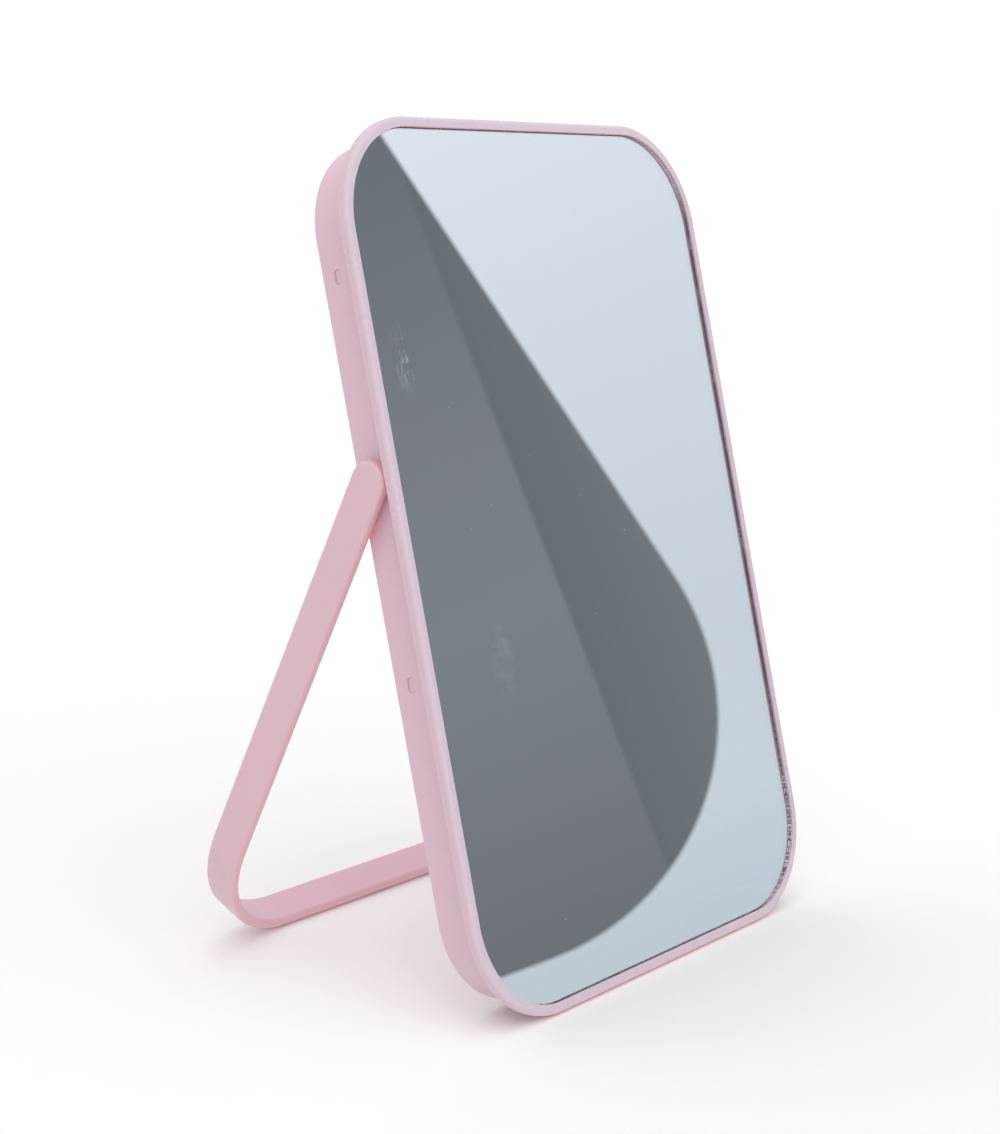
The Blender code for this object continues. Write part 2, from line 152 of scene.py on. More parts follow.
# The stand's narrow edge faces get a brighter, redder pink, painted light against their shade.
STRIP_EDGE_LIGHT_PINK = (0.81, 0.475, 0.52)
LIP_HIGHLIGHT_PINK = ((0.69, 0.572, 0.655), (0.685, 0.565, 0.65))
LIP_RIGHT_SHADE_PINK = (0.64, 0.505, 0.578)
LIP_RIGHT = (0.058, 0.066)       # across: where the painted shade on the lip's right side begins
FLANGE_PINK = (0.685, 0.49, 0.565)
FOOT_LIGHT_PINK = (0.785, 0.525, 0.605)
FOOT_LIGHT_FADE = (0.017, 0.009)       # height over which the stand's cross bar turns paler, painted light against the mirror's shade
LIP_HIGHLIGHT_FADE = (0.0002, 0.0011)      # depth over which the lip's painted highlight, a paler tone, ends
FLANGE_FADE = (0.0030, 0.0036)
GAP_GLOW_REACH = 0.004
GAP_GLOW_FADE = (0.68, 0.20)      # openness at which the painted red glow in a gap starts, and is strongest
CREST_FADE = (0.505, 0.56)       # pointiness at which an edge starts to turn paler, and is palest
WEAR_AND_HIGHLIGHT_SHARE = 0.5
FINGER_MARK = (-41.0, -22.0, 7.0, 15.0)   # on the mirror, millimetres: X, Z, half width, half height
DRIED_DROPS = (-57.5, 49.0, 4.0, 11.0)
FINGER_HAZE = 0.34
DROPS_HAZE = 0.36
WIPED_BELOW = (-0.055, -0.095)
CLEAR_GLASS = (0.978, 0.986, 0.986)
WIPED_GLASS = (0.945, 0.963, 0.975)
EDGE_BEHIND = (0.0010, 0.0013)   # depth that parts the front of the pane's ground edge from its back
EDGE_SIDES = (0.050, 0.057)      # distance from the middle where the painted shade of the sides starts
EDGE_TOP = (0.088, 0.079)        # height where it ends at the top
EDGE_BOTTOM = (-0.103, -0.096)
CORAL_ABOVE = (0.080, 0.095)
CHIPPED_BELOW = (-0.050, -0.075)
# Painted light on the pane's ground edge: the next two tones are a painted reflection of the pink lip, and the
# third is painted shade.
EDGE_PINK_REFLECTION = (0.56, 0.40, 0.48)
EDGE_CORAL_REFLECTION = (1.0, 0.42, 0.42)
EDGE_SHADE = (0.14, 0.055, 0.092)
EDGE_CLEAR = (0.88, 0.86, 0.92)
CHIP_WHITE = (0.97, 0.98, 1.0)

# ---- tones of the studio ------------------------------------------------------------------------
DULL_TINT = (0.985, 1.0, 1.015)
SUN_TINT = (1.0, 0.985, 0.97)
SKY_SPAN = (-0.05, 0.40)         # sine of elevation over which the mirrored tones run
SKY_TONES = ((0.0, (0.61, 0.68, 0.745)), (0.12, (0.67, 0.74, 0.81)), (0.30, (0.665, 0.735, 0.805)),
             (0.55, (0.73, 0.80, 0.87)), (0.85, (0.85, 0.89, 0.97)), (1.0, (0.92, 0.95, 1.0)))
CARD_SPAN = (-0.22, 0.27)        # height on the card over which its tones run
CARD_TONES = ((0.0, (0.176, 0.192, 0.212)), (0.18, (0.200, 0.221, 0.242)), (0.40, (0.229, 0.253, 0.273)),
              (0.62, (0.214, 0.235, 0.258)), (1.0, (0.166, 0.184, 0.206)))
CARD_STRIP_START = -0.042
CARD_STRIP_TONES = ((0.194, 0.215, 0.235), (0.158, 0.178, 0.196))


# ---- placing ------------------------------------------------------------------------------------
def placements(frame):
    """World matrices of the leaning mirror and of the stand turned out on its hinge."""
    mount = frame["record"]["mounts"][0]
    joint = frame["joints"][0]
    lean = math.atan2(mount["axis"][2], mount["axis"][1])
    hinge = Matrix.Translation(Vector((0, PIVOT_Y, PIVOT_Z)) * MM)
    tilt = Matrix.Rotation(lean, 4, "X")
    mirror = Matrix.Translation(joint["pos_m"]) @ tilt @ hinge.inverted()
    opened = Matrix.Rotation(math.radians(STAND_OPEN_DEG), 4, "X")
    return {"mirror": mirror, "stand": mirror @ hinge @ opened @ hinge.inverted()}


# ---- outlines and sections ----------------------------------------------------------------------
def arc(x, z, radius, start, end, steps):
    points = []
    for i in range(steps + 1):
        angle = math.radians(start + (end - start) * i / steps)
        points.append((x + radius * math.cos(angle), z + radius * math.sin(angle)))
    return points


def inset_outline(inset, corner_steps=CORNER_STEPS, side_pitch=None):
    """The flange outline moved inwards; side_pitch adds points along the straight sides."""
    x = WIDTH / 2 - CORNER_R
    z = HEIGHT / 2 - CORNER_R
    radius = CORNER_R - inset
    points = []
    for turn, (cx, cz) in enumerate(((x, z), (-x, z), (-x, -z), (x, -z))):
        points += arc(cx, cz, radius, 90 * turn, 90 * turn + 90, corner_steps)
        if side_pitch:
            length = 2 * (z if turn % 2 else x)
            start = Vector(points[-1])
            along = Vector(((-1, 0), (0, -1), (1, 0), (0, 1))[turn])
            count = int(length / side_pitch)
            points += [tuple(start + along * length * i / count) for i in range(1, count)]
    return points


def rounded(corners, closed=True):
    """A section whose corners (across, depth, radius) are replaced by fillets."""
    points = []
    last = len(corners) - 1
    for i, (x, y, radius) in enumerate(corners):
        if radius == 0 or (not closed and i in (0, last)):
            points.append((x, y))
            continue
        here = Vector((x, y))
        before = (Vector(corners[i - 1][:2]) - here).normalized()
        after = (Vector(corners[(i + 1) % len(corners)][:2]) - here).normalized()
        half = before.angle(after) / 2
        centre = here + (before + after).normalized() * radius / math.sin(half)
        first = here + before * radius / math.tan(half) - centre
        sweep = first.angle_signed(here + after * radius / math.tan(half) - centre)
        for k in range(FILLET_STEPS + 1):
            turned = first.copy()
            turned.rotate(Matrix.Rotation(-sweep * k / FILLET_STEPS, 2))
            points.append(tuple(centre + turned))
    return points


def stand_outline():
    """Front view of the U, with its arms running on past the hinge axis."""
    x = STAND_HALF - STAND_CORNER_R
    z = PIVOT_Z - STAND_REACH + STAND_CORNER_R
    inner_x = STAND_HALF - STRIP_T
    inner_r = STAND_CORNER_R - STRIP_T
    top = PIVOT_Z + STRIP_W
    outer = arc(-x, z, STAND_CORNER_R, 180, 270, CORNER_STEPS)
    outer += arc(x, z, STAND_CORNER_R, 270, 360, CORNER_STEPS)
    inner = arc(x, z, inner_r, 360, 270, CORNER_STEPS)
    inner += arc(-x, z, inner_r, 270, 180, CORNER_STEPS)
    return [(-STAND_HALF, top)] + outer + [(STAND_HALF, top), (inner_x, top)] + inner + [(-inner_x, top)]


# ---- solids as bmesh, millimetres in, metres out ------------------------------------------------
def swept(section, closed=True, **spacing):
    """A section of (inset, depth) points swept round the flange outline, open ends filled."""
    bm = bmesh.new()
    rings = []
    for inset, depth in section:
        outline = inset_outline(inset, **spacing)
        rings.append([bm.verts.new((x * MM, depth * MM, z * MM)) for x, z in outline])
    pairs = list(zip(rings, rings[1:]))
    if closed:
        pairs.append((rings[-1], rings[0]))
    for a, b in pairs:
        for i in range(len(a)):
            bm.faces.new((a[i - 1], a[i], b[i], b[i - 1]))
    if not closed:
        bm.faces.new(rings[0])
        bm.faces.new(rings[-1])
    return outwards(bm)


def outwards(bm):
    bmesh.ops.recalc_face_normals(bm, faces=bm.faces)
    if bm.calc_volume(signed=True) < 0:
        bmesh.ops.reverse_faces(bm, faces=bm.faces)
    return bm


def prism(outline, y0, y1):
    """A flat outline in X and Z, filled and extruded from y0 to y1."""
    bm = bmesh.new()
    cap = bm.faces.new([bm.verts.new((x * MM, y0 * MM, z * MM)) for x, z in outline])
    grown = bmesh.ops.extrude_face_region(bm, geom=[cap], use_keep_orig=True)
    moved = [item for item in grown["geom"] if isinstance(item, bmesh.types.BMVert)]
    bmesh.ops.translate(bm, verts=moved, vec=(0, (y1 - y0) * MM, 0))
    return outwards(bm)


def box(x, y, z):
    bm = bmesh.new()
    bmesh.ops.create_cube(bm, size=1.0)
    spans = [(high - low) * MM for low, high in (x, y, z)]
    centre = Vector([(high + low) / 2 * MM for low, high in (x, y, z)])
    bm.transform(Matrix.Translation(centre) @ Matrix.Diagonal((*spans, 1.0)))
    return bm


def rod(radius, x0, x1):
    """A cylinder on the hinge axis between two distances from the middle."""
    bm = bmesh.new()
    bmesh.ops.create_cone(bm, cap_ends=True, segments=ROD_STEPS, radius1=radius * MM,
                          radius2=radius * MM, depth=abs(x1 - x0) * MM)
    centre = Vector(((x0 + x1) / 2, PIVOT_Y, PIVOT_Z)) * MM
    bm.transform(Matrix.Translation(centre) @ Matrix.Rotation(math.radians(90), 4, "Y"))
    return bm


def round_edges(bm, edges, radius, steps):
    bmesh.ops.bevel(bm, geom=edges, offset=radius * MM, segments=steps, profile=0.5,
                    affect="EDGES", clamp_overlap=True)


def to_object(name, bm):
    mesh = bpy.data.meshes.new(name)
    bm.to_mesh(mesh)
    bm.free()
    obj = bpy.data.objects.new(name, mesh)
    bpy.context.scene.collection.objects.link(obj)
    return obj


def boolean(obj, bm, operation):
    tool = to_object("tool", bm)
    mod = obj.modifiers.new("cut", "BOOLEAN")
    mod.operation = operation
    mod.solver = "EXACT"
    mod.object = tool
    graph = bpy.context.evaluated_depsgraph_get()
    mesh = bpy.data.meshes.new_from_object(obj.evaluated_get(graph))
    old = obj.data
    obj.modifiers.clear()
    obj.data = mesh
    mesh.name = obj.name
    bpy.data.meshes.remove(old)
    bpy.data.meshes.remove(tool.data)


def welded(obj):
    bm = bmesh.new()
    bm.from_mesh(obj.data)
    bmesh.ops.remove_doubles(bm, verts=bm.verts, dist=WELD)
    bmesh.ops.dissolve_degenerate(bm, edges=bm.edges, dist=WELD)
    outwards(bm).to_mesh(obj.data)
    bm.free()


def split_along(obj, loops):
    """Edge loops at (axis, place), so that shading stays even on large flat faces."""
    bm = bmesh.new()
    bm.from_mesh(obj.data)
    for axis, place in loops:
        normal = Vector((0, 0, 0))
        normal[axis] = 1.0
        geometry = bm.verts[:] + bm.edges[:] + bm.faces[:]
        bmesh.ops.bisect_plane(bm, geom=geometry, plane_co=normal * place * MM, plane_no=normal)
    bm.to_mesh(obj.data)
    bm.free()


# ---- snap hooks and windows ---------------------------------------------------------------------
def snap_places():
    """(wall, sign, place along it) of each hook and its window."""
    half = WINDOW_PITCH / 2
    places = [("x", sign, PIVOT_Z + step) for sign in (-1, 1) for step in (-half, half)]
    return places + [("z", sign, x) for sign in (-1, 1) for x in (-END_WINDOW_X, END_WINDOW_X)]


def wall_plug(wall, sign, along, size, steps):
    """A plug with round corners through a wall, lofted over steps of (depth from the edge, growth)."""
    rim = (WIDTH if wall == "x" else HEIGHT) / 2
    bm = bmesh.new()
    rings = []
    for depth, growth in steps:
        length, width, radius = (value + growth for value in size)
        outline = rounded([(-length, -width, radius), (length, -width, radius),
                           (length, width, radius), (-length, width, radius)])
        across = sign * (rim - depth)
        ring = []
        for a, b in outline:
            point = (across, WINDOW_Y + b, along + a) if wall == "x" else (along + a, WINDOW_Y + b, across)
            ring.append(bm.verts.new(Vector(point) * MM))
        rings.append(ring)
    for a, b in zip(rings, rings[1:]):
        for i in range(len(a)):
            bm.faces.new((a[i - 1], a[i], b[i], b[i - 1]))
    bm.faces.new(rings[0])
    bm.faces.new(rings[-1])
    return outwards(bm)


def rim_steps(depth, radius, inwards):
    """Steps that round a plug's end: a window flares towards the outside, a hook's face shrinks."""
    steps = []
    for i in range(FILLET_STEPS + 1):
        angle = math.radians(90 * i / FILLET_STEPS)
        growth = radius * (1 - math.cos(angle))
        steps.append((depth + radius * (1 - math.sin(angle)), -growth if inwards else growth))
    return steps


# ---- pieces -------------------------------------------------------------------------------------
def make_bezel():
    """Lip, flange and ledge as one swept section, with the skirt and its hooks behind."""
    pocket = GLASS_RECESS + GLASS_T + FIT
    bezel = to_object("bezel", swept(rounded([
        (0, FLANGE_T, FLANGE_REAR_R), (0, 0, LIP_FRONT_R), (LIP_W, 0, LIP_INNER_R),
        (LIP_W, pocket, LEDGE_R), (LEDGE_W, pocket, LEDGE_R), (LEDGE_W, FLANGE_T, LEDGE_R)]),
        side_pitch=SIDE_PITCH))
    outer = SHELL_INSET + SHELL_WALL + FIT
    inner = outer + SKIRT_T
    skirt = to_object("skirt", swept([(outer, FLANGE_T - SKIRT_ROOT), (outer, SKIRT_END),
                                      (inner, SKIRT_END), (inner, FLANGE_T - SKIRT_ROOT)]))
    for sign in (-1, 1):
        across = sorted(sign * (WIDTH / 2 - d) for d in (outer - CUT_PAST, inner + CUT_PAST))
        boolean(skirt, box(across, (FLANGE_T + SKIRT_ROOT, SKIRT_END + CUT_PAST),
                           (PIVOT_Z - HINGE_NOTCH / 2, PIVOT_Z + HINGE_NOTCH / 2)), "DIFFERENCE")
    tight = WINDOW_CLOSE + HOOK_CLOSE_GAP
    size = [value - tight for value in (WINDOW_H / 2, WINDOW_W / 2, WINDOW_R)]
    steps = [(outer + SKIRT_T / 2, 0)] + rim_steps(SHELL_INSET + HOOK_CLOSE_DEPTH, HOOK_RIM_R, True)
    for wall, sign, along in snap_places():
        boolean(skirt, wall_plug(wall, sign, along, size, steps), "UNION")
    bm = bmesh.new()
    bm.from_mesh(skirt.data)
    bpy.data.meshes.remove(skirt.data)
    boolean(bezel, bm, "UNION")
    welded(bezel)
    return bezel


def make_shell():
    """Deep tray with rounded back edge, ribs inside and rounded windows in its walls."""
    front = FLANGE_T + FIT
    shell = to_object("shell", swept(rounded([
        (SHELL_INSET + SHELL_WALL, front, 0), (SHELL_INSET, front, SHELL_FRONT_R),
        (SHELL_INSET, SHELL_BACK, SHELL_BACK_R), (SHELL_INSET + BACK_MARGIN, SHELL_BACK, 0)],
        closed=False), closed=False, side_pitch=SIDE_PITCH))
    floor = SHELL_BACK - SHELL_FLOOR
    inside = SHELL_INSET + SHELL_WALL
    hollow = rounded([(inside, 0, 0), (inside, floor, SHELL_INNER_R), (inside + BACK_MARGIN, floor, 0)],
                     closed=False)
    boolean(shell, swept(hollow, closed=False), "DIFFERENCE")
    y = (RIB_FRONT, SHELL_BACK - SHELL_FLOOR / 2)
    half = RIB_T / 2
    for side in (-RIB_X, RIB_X):
        boolean(shell, box((side - half, side + half), y, (-RIB_HALF_LENGTH, RIB_HALF_LENGTH)), "UNION")
    for z in (-RIB_Z, RIB_Z):
        boolean(shell, box((-CROSS_RIB_HALF_LENGTH, CROSS_RIB_HALF_LENGTH), y, (z - half, z + half)),
                "UNION")
    middle = WIDTH / 2 - SHELL_INSET - SHELL_WALL / 2
    for sign in (-1, 1):
        across = sorted(sign * (WIDTH / 2 - inside + d) for d in (SHELL_WALL / 2, -GUSSET_LENGTH))
        for z in (PIVOT_Z - GUSSET_OFFSET, PIVOT_Z + GUSSET_OFFSET):
            boolean(shell, box(across, y, (z - half, z + half)), "UNION")
        reach = SHELL_WALL / 2 + CUT_PAST
        boolean(shell, rod(BORE_R, sign * (middle - reach), sign * (middle + reach)), "DIFFERENCE")
    size = [value - WINDOW_CLOSE for value in (WINDOW_H / 2, WINDOW_W / 2, WINDOW_R)]
    steps = [(inside + FIT, 0)] + rim_steps(SHELL_INSET, WINDOW_RIM_R, False)
    steps.append((SHELL_INSET - CUT_PAST, WINDOW_RIM_R))
    for wall, sign, along in snap_places():
        boolean(shell, wall_plug(wall, sign, along, size, steps), "DIFFERENCE")
    boolean(shell, gate_disc(GATE_R, SHELL_BACK - GATE_DEPTH, SHELL_BACK + CUT_PAST), "DIFFERENCE")
    boolean(shell, gate_disc(GATE_NUB_R, SHELL_BACK - 2 * GATE_DEPTH, SHELL_BACK - GATE_DEPTH + GATE_NUB_H),
            "UNION")
    loops = [(axis, side * (GATE_R + SPLIT_MARGIN)) for axis in (0, 2) for side in (-1, 1)]
    for wall, _, along in snap_places():
        for side in (-1, 1):
            loops.append((2 if wall == "x" else 0, along + side * (WINDOW_H / 2 + SPLIT_MARGIN)))
    split_along(shell, loops)
    welded(shell)
    return shell


def gate_disc(radius, y0, y1):
    """A short round plug square to the back, in its middle."""
    return prism(arc(0, 0, radius, 0, 360 - 360 / ROD_STEPS, ROD_STEPS - 1), y0, y1)


def make_stand():
    """A U trimmed to the strip's width, with a round end on each arm and soft edges all round."""
    stand = to_object("stand_loop", prism(stand_outline(), PIVOT_Y - STRIP_W, PIVOT_Y + STRIP_W))
    half = STRIP_W / 2
    below = -STAND_REACH - CUT_PAST
    blank = prism(arc(0, 0, half, 0, 180, TIP_STEPS) + [(-half, below), (half, below)], -WIDTH, WIDTH)
    hinge = Vector((0, PIVOT_Y, PIVOT_Z)) * MM
    blank.transform(Matrix.Translation(hinge) @ Matrix.Rotation(math.radians(90), 4, "Z"))
    boolean(stand, blank, "INTERSECT")
    bm = bmesh.new()
    bm.from_mesh(stand.data)
    bmesh.ops.remove_doubles(bm, verts=bm.verts, dist=WELD)
    bmesh.ops.dissolve_limit(bm, angle_limit=math.radians(STRAIGHT_DEG), verts=bm.verts,
                              edges=bm.edges)
    sharp = [edge for edge in bm.edges if edge.calc_face_angle(0.0) > math.radians(SHARP_DEG)]
    round_edges(bm, sharp, STRIP_EDGE_R, STRIP_EDGE_STEPS)
    bm.to_mesh(stand.data)
    bm.free()
    for sign in (-1, 1):
        boolean(stand, rod(STUD_R, sign * STUD_END, sign * (STAND_HALF - STRIP_T / 2)), "UNION")
        boolean(stand, rod(STUD_HOLE_R, sign * (STUD_END - CUT_PAST), sign * STUD_HOLE_END), "DIFFERENCE")
    welded(stand)
    return stand


def make_glass():
    """Sheet glass with a ground, chipped arris front and back; its back face carries the silver."""
    random.seed(CHIP_SEED)
    edge = LIP_W + GLASS_CLOSE_GAP
    front = GLASS_RECESS
    back = GLASS_RECESS + GLASS_T
    section = [(edge + GLASS_ARRIS, front), (edge, front + GLASS_ARRIS), (edge, back - GLASS_ARRIS),
               (edge + GLASS_ARRIS, back)]
    bm = swept(section, closed=False, side_pitch=CHIP_PITCH, corner_steps=CHIP_CORNER_STEPS)
    bm.verts.ensure_lookup_table()
    for vert in bm.verts:
        chipped = CHIP_LEAST + max(0.0, math.sin(vert.co.x * CHIP_RUNS[0] - vert.co.z * CHIP_RUNS[1]))
        for face, chip in ((front, CHIP_FRONT), (back, CHIP_BACK)):
            if abs(vert.co.y - face * MM) < ON_FACE:
                inwards = Vector((-vert.co.x, 0, -vert.co.z)).normalized()
                vert.co += inwards * abs(random.gauss(0, chip)) * chipped * MM
    glass = to_object("glass", bm)
    for face in glass.data.polygons:
        flat = abs(face.normal.y) > FLAT_NORMAL
        if not flat:
            face.material_index = 1
        elif face.normal.y > 0:
            face.material_index = 2
    return glass


# ---- materials ----------------------------------------------------------------------------------
class Nodes:
    """Short forms for building a material's node tree."""

    def __init__(self, name):
        self.mat = bpy.data.materials.new(name)
        self.mat.use_nodes = True
        self.tree = self.mat.node_tree
        self.shader = self.tree.nodes["Principled BSDF"]
        self.place = self.add("ShaderNodeTexCoord").outputs["Object"]

    def add(self, kind, **settings):
        node = self.tree.nodes.new(kind)
        for name, value in settings.items():
            setattr(node, name, value)
        return node

    def link(self, source, target):
        self.tree.links.new(source, target)

    def set(self, **values):
        for name, value in values.items():
            self.shader.inputs[name.replace("_", " ")].default_value = value

    def noise(self, scale, detail=3.0, roughness=0.55, stretch=(1, 1, 1)):
        mapping = self.add("ShaderNodeMapping")
        mapping.inputs["Scale"].default_value = stretch
        self.link(self.place, mapping.inputs["Vector"])
        node = self.add("ShaderNodeTexNoise")
        node.inputs["Scale"].default_value = scale
        node.inputs["Detail"].default_value = detail
        node.inputs["Roughness"].default_value = roughness
        self.link(mapping.outputs["Vector"], node.inputs["Vector"])
        return node.outputs["Fac"]

    def cells(self, scale, feature="F1"):
        node = self.add("ShaderNodeTexVoronoi", feature=feature)
        node.inputs["Scale"].default_value = scale
        self.link(self.place, node.inputs["Vector"])
        return node.outputs["Distance"]

    def spread(self, source, low, high, to_low=0.0, to_high=1.0):
        node = self.add("ShaderNodeMapRange")
        for name, value in zip(("From Min", "From Max", "To Min", "To Max"), (low, high, to_low, to_high)):
            node.inputs[name].default_value = value
        self.link(source, node.inputs["Value"])
        return node.outputs["Result"]

    def mix(self, factor, first, second):
        node = self.add("ShaderNodeMix", data_type="RGBA")
        self.link(factor, node.inputs["Factor"])
        for socket, value in ((node.inputs[6], first), (node.inputs[7], second)):
            if isinstance(value, tuple):
                socket.default_value = (*value, 1.0)
            else:
                self.link(value, socket)
        return node.outputs[2]

    def maths(self, operation, *values):
        node = self.add("ShaderNodeMath", operation=operation)
        for socket, value in zip(node.inputs, values):
            if isinstance(value, (int, float)):
                socket.default_value = value
            else:
                self.link(value, socket)
        return node.outputs[0]

    def bump(self, height, strength, distance, below=None):
        node = self.add("ShaderNodeBump")
        node.inputs["Strength"].default_value = strength
        node.inputs["Distance"].default_value = distance
        self.link(height, node.inputs["Height"])
        if below is not None:
            self.link(below, node.inputs["Normal"])
        return node.outputs["Normal"]

    def colour(self, source):
        self.link(source, self.shader.inputs["Base Color"])

    def rough(self, source):
        self.link(source, self.shader.inputs["Roughness"])

    def normal(self, source):
        self.link(source, self.shader.inputs["Normal"])

    def mirror_space(self, matrix):
        """Read places in the mirror's own upright frame, in metres."""
        mapping = self.add("ShaderNodeMapping", vector_type="TEXTURE")
        mapping.inputs["Location"].default_value = matrix.translation
        mapping.inputs["Rotation"].default_value = matrix.to_euler()
        self.link(self.place, mapping.inputs["Vector"])
        self.place = mapping.outputs["Vector"]

    def separate(self, axis):
        node = self.add("ShaderNodeSeparateXYZ")
        self.link(self.place, node.inputs[0])
        return node.outputs[axis]

    def spot(self, x, z, half_width, half_height):
        """1 in the middle of an ellipse on the mirror, fading to 0 at its edge."""
        mapping = self.add("ShaderNodeMapping", vector_type="TEXTURE")
        mapping.inputs["Location"].default_value = (x * MM, 0, z * MM)
        mapping.inputs["Scale"].default_value = (half_width * MM, 1, half_height * MM)
        self.link(self.place, mapping.inputs["Vector"])
        length = self.add("ShaderNodeVectorMath", operation="LENGTH")
        self.link(mapping.outputs["Vector"], length.inputs[0])
        return self.spread(length.outputs["Value"], 1.0, 0.35)

    def facing(self, direction):
        """1 where the surface is square to a direction, either way round, and 0 along it."""
        dot = self.add("ShaderNodeVectorMath", operation="DOT_PRODUCT")
        self.link(self.add("ShaderNodeTexCoord").outputs["Normal"], dot.inputs[0])
        dot.inputs[1].default_value = direction.normalized()
        return self.maths("ABSOLUTE", dot.outputs["Value"])

    def painted_gap_glow(self):
        """Mask for the painted red glow: 0 on open surfaces, 1 deep in a gap or corner."""
        node = self.add("ShaderNodeAmbientOcclusion", samples=16)
        node.inputs["Distance"].default_value = GAP_GLOW_REACH
        return self.spread(node.outputs["AO"], *GAP_GLOW_FADE)

    def edges(self):
        """0 on flat and hollow places, 1 on the crest of a rounded edge."""
        geometry = self.add("ShaderNodeNewGeometry")
        return self.spread(geometry.outputs["Pointiness"], *CREST_FADE)


def pink_plastic(name, pink, roughness, lip_on=None, strip_on=None):
    """Satin injection moulding: flow clouds, spark texture, a painted red glow in gaps and paler edges, part wear
    and part painted highlight.

    lip_on places the mirror whose flange differs and whose lip carries painted light, strip_on the stand whose
    edges and foot carry painted light.
    """
    # Of the four tones, the third is for paler edges, part wear and part painted highlight, and the fourth is a
    # painted red glow for gaps.
    pale, deep, wear_and_highlight, hollow = pink
    n = Nodes(name)
    flow = n.spread(n.noise(26, 4, 0.6, (1, 1, 0.45)), 0.3, 0.7)
    body = n.mix(flow, pale, deep)
    handled = n.spread(n.noise(38, 5, 0.6), 0.4, 0.75)
    grain = n.noise(1500, 2)
    if lip_on:
        n.mirror_space(lip_on)
        depth = n.separate("Y")
        body = n.mix(n.spread(depth, *FLANGE_FADE), FLANGE_PINK, body)
        # Painted light: the lip's front is paler, a painted highlight, and its right side is darker, painted
        # shade.
        lip = n.mix(n.spread(n.separate("X"), *LIP_RIGHT), n.mix(flow, *LIP_HIGHLIGHT_PINK), LIP_RIGHT_SHADE_PINK)
        body = n.mix(n.spread(depth, *LIP_HIGHLIGHT_FADE), lip, body)
    if strip_on:
        # Painted light: the cross bar turns paler near the floor, against the shade of the mirror above it.
        body = n.mix(n.spread(n.separate("Z"), *FOOT_LIGHT_FADE), body, FOOT_LIGHT_PINK)
        # Painted light: the strip's narrow edge faces, which face away from the light, are brighter and redder.
        body = n.mix(n.spread(n.facing(strip_on.col[1].xyz), 0.35, 0.95), body, STRIP_EDGE_LIGHT_PINK)
    # Painted light: gaps and corners take a brighter red tone, standing in for the glow that the translucent
    # plastic carries into its shade.
    body = n.mix(n.painted_gap_glow(), body, hollow)
    # Paler edges: part wear, part painted highlight along the roundings.
    n.colour(n.mix(n.maths("MULTIPLY", n.edges(), WEAR_AND_HIGHLIGHT_SHARE), body, wear_and_highlight))
    n.rough(n.maths("ADD", roughness, n.maths("MULTIPLY", handled, 0.10)))
    n.normal(n.bump(grain, 0.04, 0.0001))
    n.set(Subsurface_Weight=0.3, Subsurface_Radius=(1.0, 0.30, 0.25), Subsurface_Scale=0.0014,
          Specular_IOR_Level=0.6, IOR=1.49, Sheen_Weight=0.10, Sheen_Roughness=0.5,
          Sheen_Tint=(0.90, 0.96, 1.0, 1.0))
    return n.mat


def sheet_glass(mirror):
    """The clear front of the pane, with a finger mark, dried drops and faint wiping streaks."""
    n = Nodes("sheet_glass")
    n.mirror_space(mirror)
    finger = n.maths("MULTIPLY", n.spot(*FINGER_MARK), n.spread(n.noise(260, 4), 0.35, 0.75, 0.3, 1.0))
    runs = n.spread(n.noise(900, 3, 0.6, (1, 1, 0.22)), 0.52, 0.60)
    drops = n.maths("MULTIPLY", n.spot(*DRIED_DROPS), runs)
    haze = n.maths("MULTIPLY", finger, FINGER_HAZE)
    n.rough(n.maths("ADD", haze, n.maths("MULTIPLY", drops, DROPS_HAZE)))
    low = n.spread(n.separate("Z"), *WIPED_BELOW)
    streaks = n.spread(n.noise(60, 4, 0.6, (0.3, 1, 14)), 0.35, 0.65)
    n.colour(n.mix(n.maths("MULTIPLY", low, streaks), CLEAR_GLASS, WIPED_GLASS))
    n.set(Transmission_Weight=1.0, IOR=1.52)
    return n.mat


def ground_edge(mirror):
    """Ground rim of the pane: a painted reflection of the pink lip in front, coral towards the top; painted shade
    behind at the sides; bright where chipped.
    """
    n = Nodes("ground_edge")
    n.mirror_space(mirror)
    up = n.separate("Z")
    side = n.spread(n.maths("ABSOLUTE", n.separate("X")), *EDGE_SIDES)
    middle = n.maths("MULTIPLY", n.spread(up, *EDGE_TOP), n.spread(up, *EDGE_BOTTOM))
    shaded = n.maths("MULTIPLY", side, middle)
    # Painted reflection of the pink lip in front, coral towards the top; painted shade behind at the sides.
    front = n.mix(n.spread(up, *CORAL_ABOVE), EDGE_PINK_REFLECTION, EDGE_CORAL_REFLECTION)
    back = n.mix(shaded, EDGE_CLEAR, EDGE_SHADE)
    behind = n.spread(n.separate("Y"), *EDGE_BEHIND)
    low = n.spread(up, *CHIPPED_BELOW)
    some = n.spread(n.noise(90, 2), 0.50, 0.62, 0.0, 0.5)
    chips = n.spread(n.cells(1500), 0.58, 0.38)
    bright = n.maths("MULTIPLY", chips, n.maths("MAXIMUM", low, some))
    n.colour(n.mix(bright, n.mix(behind, front, back), CHIP_WHITE))
    shiny = n.maths("MAXIMUM", bright, n.maths("MULTIPLY", behind, n.maths("SUBTRACT", 1, shaded)))
    n.link(shiny, n.shader.inputs["Metallic"])
    ground = n.spread(n.noise(2500, 2), 0.3, 0.7, 0.25, 0.55)
    n.rough(n.maths("MULTIPLY", ground, n.spread(shiny, 0.0, 1.0, 1.0, 0.3)))
    n.normal(n.bump(n.cells(2200), 0.25, 0.0001))
    n.set(IOR=1.52, Specular_IOR_Level=0.35)
    return n.mat


